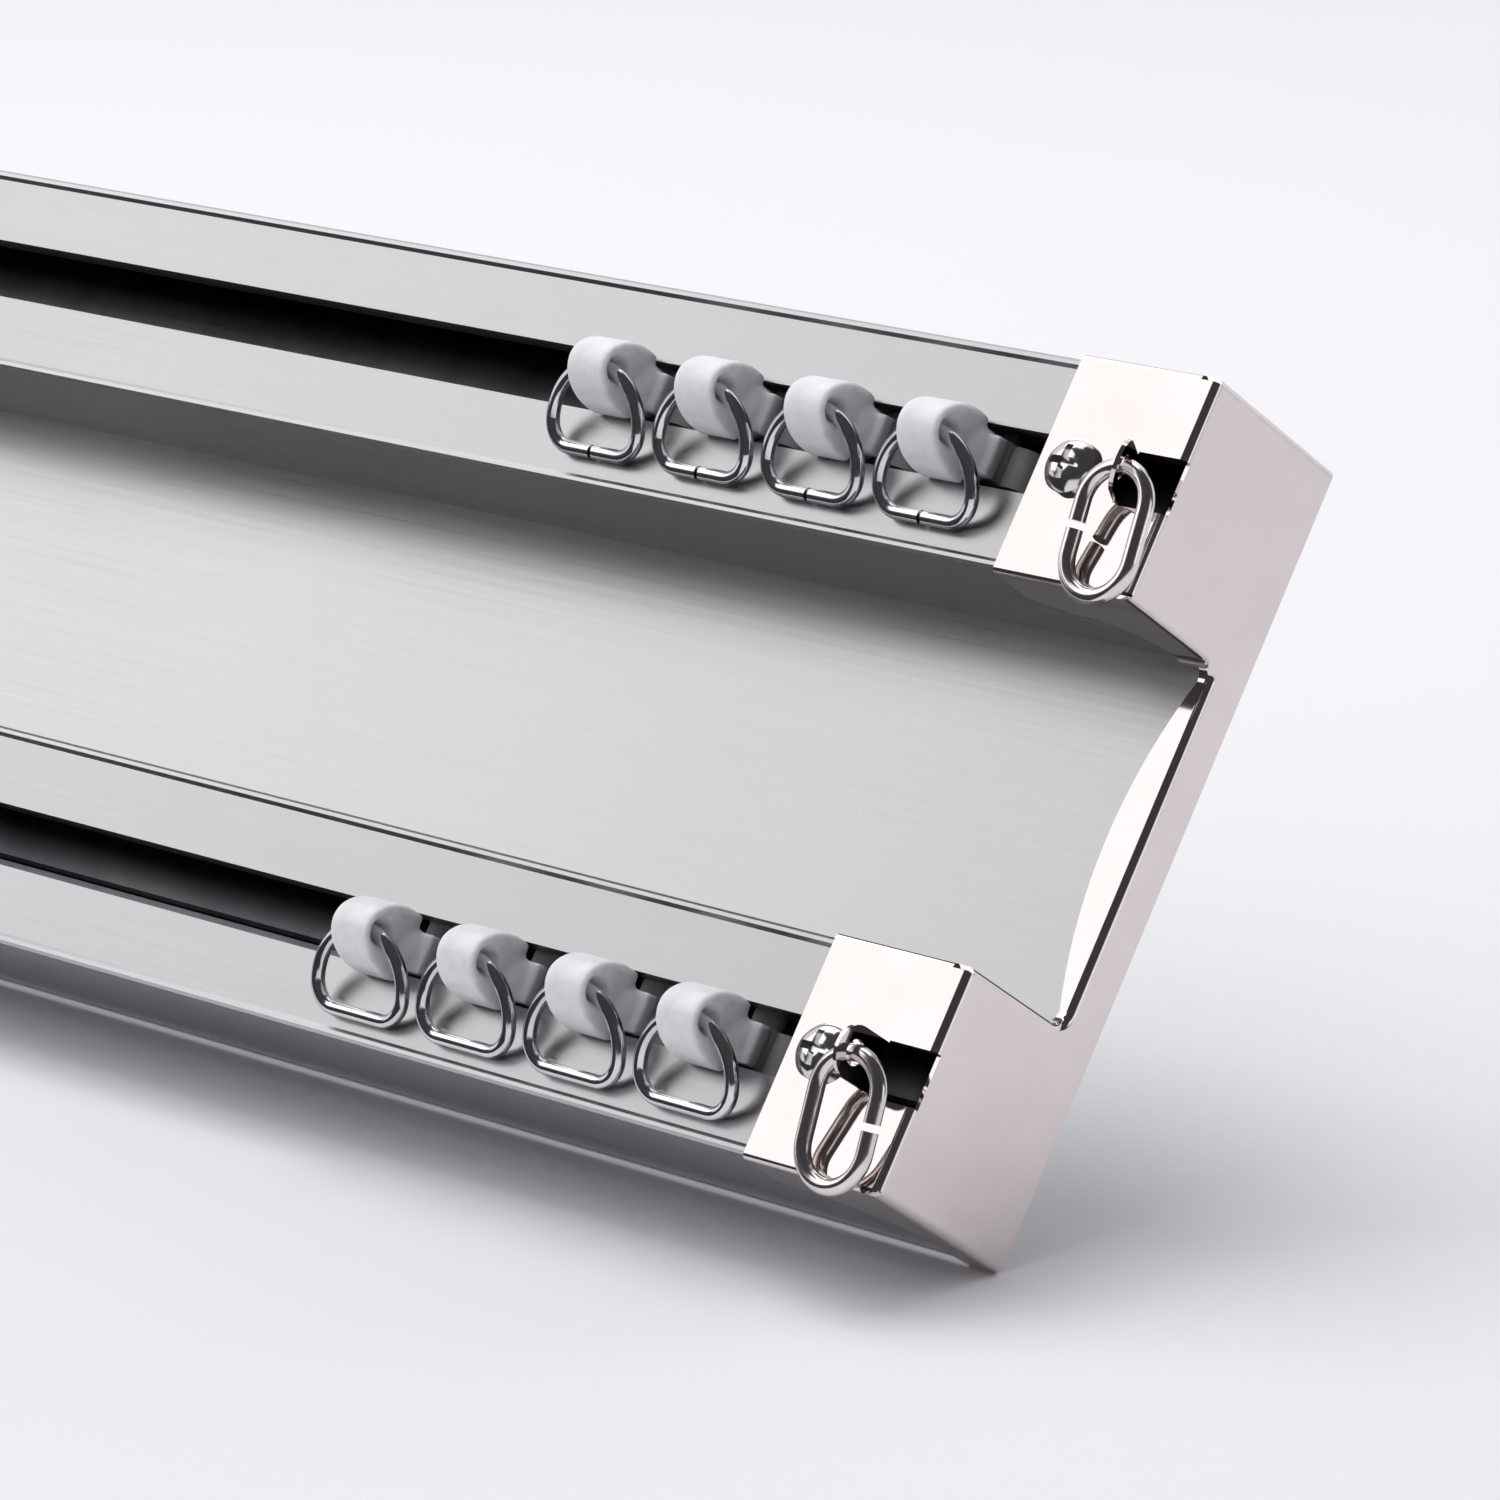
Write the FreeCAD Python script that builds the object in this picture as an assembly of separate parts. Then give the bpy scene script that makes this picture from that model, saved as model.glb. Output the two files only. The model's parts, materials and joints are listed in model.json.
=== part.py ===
import FreeCAD
import Part

import math
import os

from FreeCAD import Vector

# Double ceiling curtain track: one aluminium rail with two slotted channels,
# a folded sheet-steel cap on each end, and nylon gliders with wire rings.
# Frame: X runs along the track, Y across it, Z up. The origin is the centre
# of the flat back, which lies against the ceiling, so the slots open to -Z.
# All sizes are millimetres.

# Overall
TRACK_LENGTH = 500.0
SIDES = ("right", "left")
ROWS = {"a": -1, "b": 1}

# End cap sheet
CAP_WIDTH = 100.0
CAP_DEPTH = 24.85
CAP_LEG = 27.6
CAP_LENGTH = 20.2
SHEET = 0.5
SHEET_GAP = 0.05
END_GAP = 0.3
SIDE_BEND_R = 0.7
END_BEND_R = 0.95
THROAT_R = 2.0

# Rail section, fitted inside the cap sheet
RAIL_HALF = CAP_WIDTH / 2 - SHEET - SHEET_GAP
RAIL_DEPTH = CAP_DEPTH - SHEET - 2 * SHEET_GAP
RAIL_LEG = CAP_LEG - 2 * (SHEET + SHEET_GAP)
LEG_Y = RAIL_HALF - RAIL_LEG / 2
WALL = 1.3
WEB_DEPTH = 5.4
WEB_SKIN = 1.2
WEB_RIBS = 2
BEAD_WIDTH = 0.8
BEAD_SLOPE = 0.45
BEAD_HEIGHT = 0.3
EDGE_CHAMFER = 0.35
SLOT = 7.6
LIP = 1.8
RIDGE_WIDTH = 1.0
RIDGE_HEIGHT = 0.8
CHANNEL_HEIGHT = 11.2
ROOF_GROOVE_WIDTH = 0.8
ROOF_GROOVE_DEPTH = 0.5
BACK_GROOVE_FROM = 0.9
BACK_GROOVE_WIDTH = 0.5
BACK_GROOVE_DEPTH = 0.35

FACE_Z = -RAIL_DEPTH + BEAD_HEIGHT
RUNWAY_Z = FACE_Z + LIP
RIDGE_Z = RUNWAY_Z + RIDGE_HEIGHT
ROOF_Z = RUNWAY_Z + CHANNEL_HEIGHT
CHANNEL_HALF = RAIL_LEG / 2 - WALL

# Cap flanges: how far their free edges reach from the cap's outer face
FLANGE_CORNER_Z = -17.4
FLANGE_SHOULDER = (15.0, -15.3)
FLANGE_SAG = (8.3, -12.6)
FLANGE_FOOT = (4.6, -6.0)
THROAT_FLANGE_MID = 5.3
THROAT_FLANGE_END = 1.9
RELIEF_LENGTH = 2.6

# Cap window and the eye tongue lanced from it
WINDOW_LENGTH = 6.8
WINDOW_WIDTH = 6.7
TONGUE_WIDTH = 6.2
TONGUE_BEND_R = 0.4
EYE_HEIGHT = 4.6
EYE_R = 1.5
TONGUE_LEAN = {"a": 28.0, "b": 0.0}

# Cap screw and its clamp plate inside the channel
SCREW_FROM_EDGE = 5.3
SCREW_R = 1.7
SCREW_HOLE_R = 1.95
HEAD_R = 3.4
HEAD_HEIGHT = 2.1
HEAD_RIM = 0.8
HEAD_SHOULDER_R = 2.44
HEAD_SHOULDER_DROP = 0.36
RECESS_SPAN = 4.2
RECESS_WIDTH = 0.95
RECESS_DEPTH = 1.2
SCREW_TIP = 1.0
THREAD_FIT = 0.02
PLATE_LENGTH = 6.4
PLATE_WIDTH = 12.0
PLATE_THICK = 2.2

# Oval wire ring on each cap
CAP_WIRE_R = 1.0
CAP_RING_WIDTH = 9.0
CAP_RING_LENGTH = 15.0
CAP_RING_GAP = 0.9
CAP_RING_SHIFT = 0.5
REST_GAP = 0.15

# Gliders
GLIDERS = 4
PITCH = 17.6
CARRIAGE_GAP = 0.3
FIRST_GLIDER = {"a": 32.9, "b": 31.1}
GLIDER_SHIFT = {"a": 0.0, "b": 0.8}
SLOT_PLAY = 1.3
CARRIAGE_HEIGHT = 8.0
CARRIAGE_R = 2.5
STEM_LENGTH = 11.0
FACE_GAP = 0.4
BULB_ACROSS = 8.8
BULB_REACH = 6.5
BULB_THICK = 6.3
BULB_EDGE_R = 0.5
BULB_CENTRE = 2.0
HOLE_FORWARD = 3.8
HOLE_PLAY = 0.2

# Wheels and axles
WHEEL_R = 4.8
WHEEL_WIDTH = 4.2
WHEEL_FROM = 6.2
WHEEL_GAP = 0.1
WHEEL_CHAMFER = 0.4
HUB_R = 2.0
HUB_GAP = 0.15
DISH_R = 3.9
DISH_DEPTH = 0.6
AXLE_R = 1.0
AXLE_FIT = 0.05
AXLE_PROUD = 0.25
PRESS_FIT = 0.02

# Wire ring in each glider
WIRE_R = 0.85
RING_WIDTH = 14.2
RING_LENGTH = 10.4
RING_CORNER_R = 3.2
RING_GAP = 0.5

END_X = TRACK_LENGTH / 2
SCREW_X = END_X - CAP_LENGTH + SCREW_FROM_EDGE
PLATE_Z = -CAP_DEPTH
STEM_WIDTH = SLOT - 2 * SLOT_PLAY
WHEEL_Z = RUNWAY_Z + WHEEL_GAP + WHEEL_R
BULB_Z = FACE_Z - BULB_CENTRE
HOLE_Z = BULB_Z - HOLE_FORWARD
EYE_Z = PLATE_Z - EYE_HEIGHT
PAST = 1.0
EDGE_TOLERANCE = 1e-6


def face_yz(points):
    """Flat face at x = 0 from (y, z) corners."""
    corners = [Vector(0, y, z) for y, z in points]
    return Part.Face(Part.makePolygon(corners + corners[:1]))


def box(x0, x1, y0, y1, z0, z1):
    """Axis-aligned block between two corners given in any order."""
    low = Vector(min(x0, x1), min(y0, y1), min(z0, z1))
    return Part.makeBox(abs(x1 - x0), abs(y1 - y0), abs(z1 - z0), low)


def rounded_wire(corners):
    """Closed wire at x = 0 from (y, z, radius) corners joined by tangent arcs."""
    edges = []
    count = len(corners)
    joins = []
    for k, (y, z, radius) in enumerate(corners):
        here = Vector(0, y, z)
        before = Vector(0, *corners[k - 1][:2])
        after = Vector(0, *corners[(k + 1) % count][:2])
        back = (before - here).normalize()
        ahead = (after - here).normalize()
        if radius <= 0:
            joins.append((here, None, here))
            continue
        half = back.getAngle(ahead) / 2
        reach = radius / math.tan(half)
        middle = (back + ahead).normalize()
        centre = here + middle * (radius / math.sin(half))
        joins.append((here + back * reach, centre - middle * radius, here + ahead * reach))
    for k, (start, middle, end) in enumerate(joins):
        if middle is not None:
            edges.append(Part.Arc(start, middle, end).toShape())
        following = joins[(k + 1) % count][0]
        edges.append(Part.LineSegment(end, following).toShape())
    return Part.Wire(edges)


def rail_outline():
    """Outside of the whole section: two legs with chamfered fronts and the web."""
    inner = RAIL_HALF - RAIL_LEG
    front = -RAIL_DEPTH
    step = front + EDGE_CHAMFER
    half_points = [
        (inner, -WEB_DEPTH),
        (inner, step),
        (inner + EDGE_CHAMFER, front),
        (RAIL_HALF - EDGE_CHAMFER, front),
        (RAIL_HALF, step),
        (RAIL_HALF, 0),
    ]
    mirrored = [(-y, z) for y, z in reversed(half_points)]
    return face_yz(half_points + mirrored)


def channel_space(y):
    """Running channel with its guide ridges and the fine groove in its roof."""
    slot = SLOT / 2
    ridge = slot + RIDGE_WIDTH
    groove = ROOF_GROOVE_WIDTH / 2
    return face_yz([
        (y - slot, RIDGE_Z),
        (y - ridge, RIDGE_Z),
        (y - ridge, RUNWAY_Z),
        (y - CHANNEL_HALF, RUNWAY_Z),
        (y - CHANNEL_HALF, ROOF_Z),
        (y - groove, ROOF_Z),
        (y, ROOF_Z + ROOF_GROOVE_DEPTH),
        (y + groove, ROOF_Z),
        (y + CHANNEL_HALF, ROOF_Z),
        (y + CHANNEL_HALF, RUNWAY_Z),
        (y + ridge, RUNWAY_Z),
        (y + ridge, RIDGE_Z),
        (y + slot, RIDGE_Z),
        (y + slot, FACE_Z - PAST),
        (y - slot, FACE_Z - PAST),
    ])


def roof_chamber(y):
    """Closed chamber between the channel roof and the back of the rail."""
    low = ROOF_Z + WALL
    return face_yz([
        (y - CHANNEL_HALF, low),
        (y + CHANNEL_HALF, low),
        (y + CHANNEL_HALF, -WALL),
        (y - CHANNEL_HALF, -WALL),
    ])


def face_recess(y):
    """Shallow recess that leaves a raised bead along each front edge."""
    half = RAIL_LEG / 2 - BEAD_WIDTH
    foot = half - BEAD_SLOPE
    return face_yz([
        (y - half, -RAIL_DEPTH - PAST),
        (y + half, -RAIL_DEPTH - PAST),
        (y + half, -RAIL_DEPTH),
        (y + foot, FACE_Z),
        (y - foot, FACE_Z),
        (y - half, -RAIL_DEPTH),
    ])


def back_groove(row):
    """Fine groove along the outer wall, close to the back edge."""
    outer = row * (RAIL_HALF + PAST)
    inner = row * (RAIL_HALF - BACK_GROOVE_DEPTH)
    high = -BACK_GROOVE_FROM
    low = high - BACK_GROOVE_WIDTH
    return face_yz([(outer, high), (inner, high), (inner, low), (outer, low)])


def web_cells():
    """Closed cells of the web, parted by its ribs."""
    inner = RAIL_HALF - RAIL_LEG + WALL / 2
    cells = WEB_RIBS + 1
    width = (2 * inner - (cells + 1) * WEB_SKIN) / cells
    faces = []
    for k in range(cells):
        y = -inner + WEB_SKIN + k * (width + WEB_SKIN)
        low = -WEB_DEPTH + WEB_SKIN
        faces.append(face_yz([(y, low), (y + width, low), (y + width, -WEB_SKIN), (y, -WEB_SKIN)]))
    return faces


def rail():
    """Extruded double rail between the two end plates."""
    hollows = web_cells()
    for row in ROWS.values():
        y = row * LEG_Y
        hollows += [channel_space(y), roof_chamber(y), face_recess(y), back_groove(row)]
    section = rail_outline().cut(hollows).Faces[0]
    length = TRACK_LENGTH - 2 * (SHEET + END_GAP)
    section.translate(Vector(-length / 2, 0, 0))
    return section.extrude(Vector(length, 0, 0))


def cap_block(inset, start, end_r):
    """C-shaped block, inset all round, with its end edges rounded."""
    half = CAP_WIDTH / 2 - inset
    front = -CAP_DEPTH + inset
    inner = CAP_WIDTH / 2 - CAP_LEG + inset
    web = -(WEB_DEPTH + SHEET_GAP + SHEET) + inset
    bend = SIDE_BEND_R - inset
    throat = THROAT_R + inset
    above = 5 * PAST
    outline = rounded_wire([
        (-half, above, 0),
        (-half, front, bend),
        (-inner, front, bend),
        (-inner, web, throat),
        (inner, web, throat),
        (inner, front, bend),
        (half, front, bend),
        (half, above, 0),
    ])
    face = Part.Face(outline)
    face.translate(Vector(start, 0, 0))
    block = face.extrude(Vector(-CAP_LENGTH - inset, 0, 0))
    rim = [e for e in block.Edges if abs(e.BoundBox.XMin - start) < EDGE_TOLERANCE]
    return block.makeFillet(end_r, rim)


def flange_trim(row):
    """What is cut away beyond the free edge of one leg's side flanges."""
    near = row * (CAP_WIDTH / 2 - CAP_LEG - PAST / 2)
    far = row * (CAP_WIDTH / 2 + PAST)
    def at(point):
        return Vector(END_X - point[0], near, point[1])
    beyond = CAP_LENGTH + PAST
    shoulder = at(FLANGE_SHOULDER)
    foot = at(FLANGE_FOOT)
    corners = [shoulder, at((CAP_LENGTH, FLANGE_CORNER_Z)), at((beyond, FLANGE_CORNER_Z)),
               at((beyond, PAST)), at((FLANGE_FOOT[0], PAST)), foot]
    edges = [Part.LineSegment(a, b).toShape() for a, b in zip(corners, corners[1:])]
    edges.append(Part.Arc(foot, at(FLANGE_SAG), shoulder).toShape())
    return Part.Face(Part.Wire(edges)).extrude(Vector(0, far - near, 0))


def throat_trim():
    """What is cut away beyond the bowed edge of the flange on the web."""
    reach = CAP_WIDTH / 2 - CAP_LEG - PAST / 2
    bow = reach - THROAT_R + PAST / 2
    low = -WEB_DEPTH - 2 * PAST
    def at(depth, y):
        return Vector(END_X - depth, y, low)
    beyond = CAP_LENGTH + PAST
    corners = [at(THROAT_FLANGE_END, bow), at(THROAT_FLANGE_END, reach), at(beyond, reach),
               at(beyond, -reach), at(THROAT_FLANGE_END, -reach), at(THROAT_FLANGE_END, -bow)]
    edges = [Part.LineSegment(a, b).toShape() for a, b in zip(corners, corners[1:])]
    edges.append(Part.Arc(corners[-1], at(THROAT_FLANGE_MID, 0), corners[0]).toShape())
    return Part.Face(Part.Wire(edges)).extrude(Vector(0, 0, 3 * PAST - low))


def corner_reliefs():
    """Short slits where the front, side and end folds of a leg meet."""
    cuts = []
    low = PLATE_Z - PAST
    high = PLATE_Z + SIDE_BEND_R
    for row in ROWS.values():
        outer = row * CAP_WIDTH / 2
        inner = row * (CAP_WIDTH / 2 - CAP_LEG)
        start = END_X - RELIEF_LENGTH
        cuts.append(box(start, END_X + PAST, outer - row * SIDE_BEND_R, outer + row * PAST, low, high))
        cuts.append(box(start, END_X + PAST, inner + row * SIDE_BEND_R, inner - row * PAST, low, high))
    return cuts


def tongue_pivot(row):
    """Middle of the tongue's bend, on its bend axis."""
    x = END_X - WINDOW_LENGTH - SHEET - TONGUE_BEND_R
    return Vector(x, ROWS[row] * LEG_Y, PLATE_Z - TONGUE_BEND_R)


def leant(shape, row):
    """Shape of an upright tongue, turned about its bend as that row's tongue leans."""
    shape.rotate(tongue_pivot(row), Vector(0, -1, 0), TONGUE_LEAN[row])
    return shape


def eye_centre(row):
    """Centre of a tongue's eye, halfway through the sheet."""
    upright = Vector(END_X - WINDOW_LENGTH - SHEET / 2, ROWS[row] * LEG_Y, EYE_Z)
    return leant(Part.Vertex(upright), row).Point


def eye_tongue(row):
    """Tongue bent out of the front plate, with a round end and an eye."""
    pivot = tongue_pivot(row)
    half = TONGUE_WIDTH / 2
    outer = END_X - WINDOW_LENGTH
    inner = outer - SHEET
    low, high = pivot.y - half, pivot.y + half
    corners = [Vector(inner, low, pivot.z), Vector(outer, low, pivot.z),
               Vector(outer, high, pivot.z), Vector(inner, high, pivot.z)]
    root = leant(Part.Face(Part.makePolygon(corners + corners[:1])), row)
    bend = root.revolve(pivot, Vector(0, -1, 0), 90 - TONGUE_LEAN[row])
    stem = box(inner, outer, low, high, pivot.z, EYE_Z)
    tip = Part.makeCylinder(half, SHEET, Vector(inner, pivot.y, EYE_Z), Vector(1, 0, 0))
    eye = Part.makeCylinder(EYE_R, 3 * SHEET, Vector(inner - SHEET, pivot.y, EYE_Z), Vector(1, 0, 0))
    return bend.fuse(leant(stem.fuse(tip).cut(eye), row))


def end_cap():
    """Folded sheet cap on the right end of the track."""
    shell = cap_block(0, END_X, END_BEND_R)
    shell = shell.cut(cap_block(SHEET, END_X - SHEET, END_BEND_R - SHEET))
    cuts = [box(0, TRACK_LENGTH, -CAP_WIDTH, CAP_WIDTH, 0, CAP_DEPTH), throat_trim()]
    cuts += corner_reliefs()
    for row in ROWS.values():
        y = row * LEG_Y
        half = WINDOW_WIDTH / 2
        cuts.append(flange_trim(row))
        cuts.append(box(END_X - WINDOW_LENGTH, END_X + PAST, y - half, y + half,
                        PLATE_Z - PAST, PLATE_Z + END_BEND_R))
        root = TONGUE_WIDTH / 2
        cuts.append(box(END_X - WINDOW_LENGTH - SHEET - TONGUE_BEND_R, END_X, y - root, y + root,
                        PLATE_Z - PAST, PLATE_Z + END_BEND_R))
        cuts.append(Part.makeCylinder(SCREW_HOLE_R, 3 * PAST,
                                      Vector(SCREW_X, y, PLATE_Z - PAST)))
    shell = shell.cut(cuts)
    shell = shell.fuse([eye_tongue(row) for row in ROWS])
    return shell.removeSplitter()


def cap_screw(y):
    """Pan-head screw with a cross recess, through the cap into its plate."""
    tip = RIDGE_Z + PLATE_THICK + SCREW_TIP
    rim = PLATE_Z - HEAD_RIM
    crown = PLATE_Z - HEAD_HEIGHT
    shoulder = Vector(HEAD_SHOULDER_R, 0, crown + HEAD_SHOULDER_DROP)
    edges = [
        Part.LineSegment(Vector(0, 0, crown), Vector(0, 0, tip)).toShape(),
        Part.LineSegment(Vector(0, 0, tip), Vector(SCREW_R, 0, tip)).toShape(),
        Part.LineSegment(Vector(SCREW_R, 0, tip), Vector(SCREW_R, 0, PLATE_Z)).toShape(),
        Part.LineSegment(Vector(SCREW_R, 0, PLATE_Z), Vector(HEAD_R, 0, PLATE_Z)).toShape(),
        Part.LineSegment(Vector(HEAD_R, 0, PLATE_Z), Vector(HEAD_R, 0, rim)).toShape(),
        Part.Arc(Vector(HEAD_R, 0, rim), shoulder, Vector(0, 0, crown)).toShape(),
    ]
    screw = Part.Face(Part.Wire(edges)).revolve(Vector(0, 0, 0), Vector(0, 0, 1), 360)
    reach = RECESS_SPAN / 2
    slim = RECESS_WIDTH / 2
    floor = crown + RECESS_DEPTH
    screw = screw.cut([box(-reach, reach, -slim, slim, crown - PAST, floor),
                       box(-slim, slim, -reach, reach, crown - PAST, floor)])
    screw.translate(Vector(SCREW_X, y, 0))
    return screw


def clamp_plate(y):
    """Threaded plate behind the lips, resting on the guide ridges."""
    x = SCREW_X
    plate = box(x - PLATE_LENGTH / 2, x + PLATE_LENGTH / 2,
                y - PLATE_WIDTH / 2, y + PLATE_WIDTH / 2, RIDGE_Z, RIDGE_Z + PLATE_THICK)
    hole = Part.makeCylinder(SCREW_R + THREAD_FIT, 2 * PLATE_THICK, Vector(x, y, RIDGE_Z - PAST))
    return plate.cut(hole)


def wire_along(edges, start, direction, gauge):
    """Round wire swept along a path of lines and arcs."""
    circle = Part.Circle(start, direction, gauge).toShape()
    return Part.Wire(edges).makePipe(Part.Face(Part.Wire(circle)))


def line(a, b):
    """Straight edge between two points of a ring's plane."""
    return Part.LineSegment(Vector(*a, 0), Vector(*b, 0)).toShape()


def arc(a, middle, b):
    """Arc edge through three points of a ring's plane."""
    return Part.Arc(Vector(*a, 0), Vector(*middle, 0), Vector(*b, 0)).toShape()


def oval_ring(side):
    """Open oval ring in its own plane: it hangs along +Y from the origin."""
    half = CAP_RING_WIDTH / 2
    foot = CAP_RING_LENGTH - half
    middle = CAP_RING_LENGTH / 2
    gap = CAP_RING_GAP / 2
    edges = [
        line((side * half, middle + gap), (side * half, foot)),
        arc((side * half, foot), (0, CAP_RING_LENGTH), (-side * half, foot)),
        line((-side * half, foot), (-side * half, half)),
        arc((-side * half, half), (0, 0), (side * half, half)),
        line((side * half, half), (side * half, middle - gap)),
    ]
    return wire_along(edges, Vector(side * half, middle + gap, 0), Vector(0, 1, 0), CAP_WIRE_R)


def flat_foot_ring(open_foot):
    """Ring with a round top and a flattened foot, its ends meeting there or at the top."""
    half = RING_WIDTH / 2
    corner = RING_CORNER_R
    foot = RING_LENGTH - corner
    lean = corner * (1 - math.sqrt(0.5))
    gap = RING_GAP / 2
    side_top = half
    rise = half - math.sqrt(half ** 2 - gap ** 2)
    bulge = half * math.sqrt(0.5)
    right = [
        line((half, side_top), (half, foot)),
        arc((half, foot), (half - lean, RING_LENGTH - lean), (half - corner, RING_LENGTH)),
    ]
    left = [
        arc((corner - half, RING_LENGTH), (lean - half, RING_LENGTH - lean), (-half, foot)),
        line((-half, foot), (-half, side_top)),
    ]
    if open_foot:
        top = arc((-half, side_top), (0, 0), (half, side_top))
        edges = [line((-gap, RING_LENGTH), (corner - half, RING_LENGTH))] + left + [top] + right
        edges.append(line((half - corner, RING_LENGTH), (gap, RING_LENGTH)))
        return wire_along(edges, Vector(-gap, RING_LENGTH, 0), Vector(-1, 0, 0), WIRE_R)
    first = arc((gap, rise), (bulge, half - bulge), (half, side_top))
    last = arc((-half, side_top), (-bulge, half - bulge), (-gap, rise))
    foot_line = line((half - corner, RING_LENGTH), (corner - half, RING_LENGTH))
    slope = gap / math.sqrt(half ** 2 - gap ** 2)
    return wire_along([first] + right + [foot_line] + left + [last],
                      Vector(gap, rise, 0), Vector(1, slope, 0), WIRE_R)


def laid_back(ring, rise, run):
    """Ring turned about X so that it drops by rise over its run."""
    ring.rotate(Vector(0, 0, 0), Vector(1, 0, 0), math.degrees(math.asin(rise / run)))
    return ring


def cap_ring(side, row):
    """Oval ring through a cap's eye, lying against the edge of its plate."""
    eye = eye_centre(row)
    drop = PLATE_Z - eye.z - CAP_WIRE_R - REST_GAP
    ring = oval_ring(side)
    ring.rotate(Vector(0, 0, 0), Vector(1, 0, 0), math.degrees(math.atan2(drop, CAP_LEG / 2)))
    ring.translate(eye + Vector(CAP_RING_SHIFT, 0, 0))
    return ring


def glider_ring(row, x):
    """Wire ring of one glider, lying back against the rail's face."""
    rise = FACE_Z - HOLE_Z - WIRE_R - REST_GAP
    ring = laid_back(flat_foot_ring(row == "a"), rise, RING_LENGTH)
    ring.translate(Vector(x, ROWS[row] * LEG_Y + GLIDER_SHIFT[row], HOLE_Z))
    return ring


def glider_bulb():
    """Oval tab below the rail with softened rims, ending just clear of the face."""
    half = BULB_THICK / 2
    across = Vector(0, BULB_ACROSS / 2, 0)
    reach = Vector(0, 0, -BULB_REACH)
    centre = Vector(-half, 0, BULB_Z)
    rim = Part.Ellipse(centre + reach, centre + across, centre).toShape()
    tab = Part.Face(Part.Wire(rim)).extrude(Vector(BULB_THICK, 0, 0))
    rims = [e for e in tab.Edges if e.BoundBox.XLength < EDGE_TOLERANCE]
    tab = tab.makeFillet(BULB_EDGE_R, rims)
    return tab.cut(box(-half, half, -BULB_ACROSS, BULB_ACROSS, FACE_Z - FACE_GAP, 0))


def ring_hole():
    """Hole along X that widens towards both mouths as the ring's bend does."""
    reach = BULB_THICK / 2 + PAST
    bend = RING_WIDTH / 2
    waist = WIRE_R + HOLE_PLAY
    mouth = BULB_THICK / 2 + PAST / 2
    flare = bend - math.sqrt((bend - waist) ** 2 - mouth ** 2)
    edges = [
        Part.LineSegment(Vector(-reach, 0, 0), Vector(-reach, 0, flare)).toShape(),
        Part.LineSegment(Vector(-reach, 0, flare), Vector(-mouth, 0, flare)).toShape(),
        Part.Arc(Vector(-mouth, 0, flare), Vector(0, 0, waist), Vector(mouth, 0, flare)).toShape(),
        Part.LineSegment(Vector(mouth, 0, flare), Vector(reach, 0, flare)).toShape(),
        Part.LineSegment(Vector(reach, 0, flare), Vector(reach, 0, 0)).toShape(),
        Part.LineSegment(Vector(reach, 0, 0), Vector(-reach, 0, 0)).toShape(),
    ]
    hole = Part.Face(Part.Wire(edges)).revolve(Vector(0, 0, 0), Vector(1, 0, 0), 360)
    hole.translate(Vector(0, 0, HOLE_Z))
    return hole


def carriage():
    """Moulded block in the channel, with the stem that fills the slot."""
    half = (PITCH - CARRIAGE_GAP) / 2
    low = WHEEL_Z - CARRIAGE_HEIGHT / 2
    high = WHEEL_Z + CARRIAGE_HEIGHT / 2
    block = box(-half, half, -STEM_WIDTH / 2, STEM_WIDTH / 2, low, high)
    upright = [e for e in block.Edges if e.BoundBox.XLength < EDGE_TOLERANCE
               and e.BoundBox.ZLength < EDGE_TOLERANCE]
    block = block.makeFillet(CARRIAGE_R, upright)
    stem_half = STEM_LENGTH / 2
    stem = box(-stem_half, stem_half, -STEM_WIDTH / 2, STEM_WIDTH / 2, FACE_Z - FACE_GAP, WHEEL_Z)
    bore = Part.makeCylinder(AXLE_R + AXLE_FIT, SLOT, Vector(0, -SLOT / 2, WHEEL_Z), Vector(0, 1, 0))
    return block.fuse(stem).cut(bore)


def glider():
    """Nylon glider body, centred on x = 0 of its own slot."""
    body = glider_bulb().fuse(carriage())
    return body.cut(ring_hole()).removeSplitter()


def wheel():
    """Nylon wheel on the +Y side, with its hub towards the carriage."""
    hub_from = STEM_WIDTH / 2 + HUB_GAP
    inner = WHEEL_FROM
    outer = WHEEL_FROM + WHEEL_WIDTH
    bore = AXLE_R + PRESS_FIT
    profile = [
        (bore, hub_from), (HUB_R, hub_from), (HUB_R, inner), (WHEEL_R - WHEEL_CHAMFER, inner),
        (WHEEL_R, inner + WHEEL_CHAMFER), (WHEEL_R, outer - WHEEL_CHAMFER),
        (WHEEL_R - WHEEL_CHAMFER, outer), (DISH_R, outer), (DISH_R, outer - DISH_DEPTH),
        (HUB_R, outer - DISH_DEPTH), (HUB_R, outer), (bore, outer),
    ]
    corners = [Vector(r, y, 0) for r, y in profile]
    section = Part.Face(Part.makePolygon(corners + corners[:1]))
    turned = section.revolve(Vector(0, 0, 0), Vector(0, 1, 0), 360)
    turned.translate(Vector(0, 0, WHEEL_Z))
    return turned


def axle():
    """Steel axle across the carriage, carrying both wheels."""
    reach = WHEEL_FROM + WHEEL_WIDTH + AXLE_PROUD
    return Part.makeCylinder(AXLE_R, 2 * reach, Vector(0, -reach, WHEEL_Z), Vector(0, 1, 0))


def save(name, shape):
    """Write one sub-part to its own file."""
    shape.exportStep(os.path.join("parts", name + ".step"))


def at_end(shape, side):
    """Shape of the right end, or its mirror image for the left end."""
    if side == "right":
        return shape
    return shape.mirror(Vector(0, 0, 0), Vector(1, 0, 0))


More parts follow.
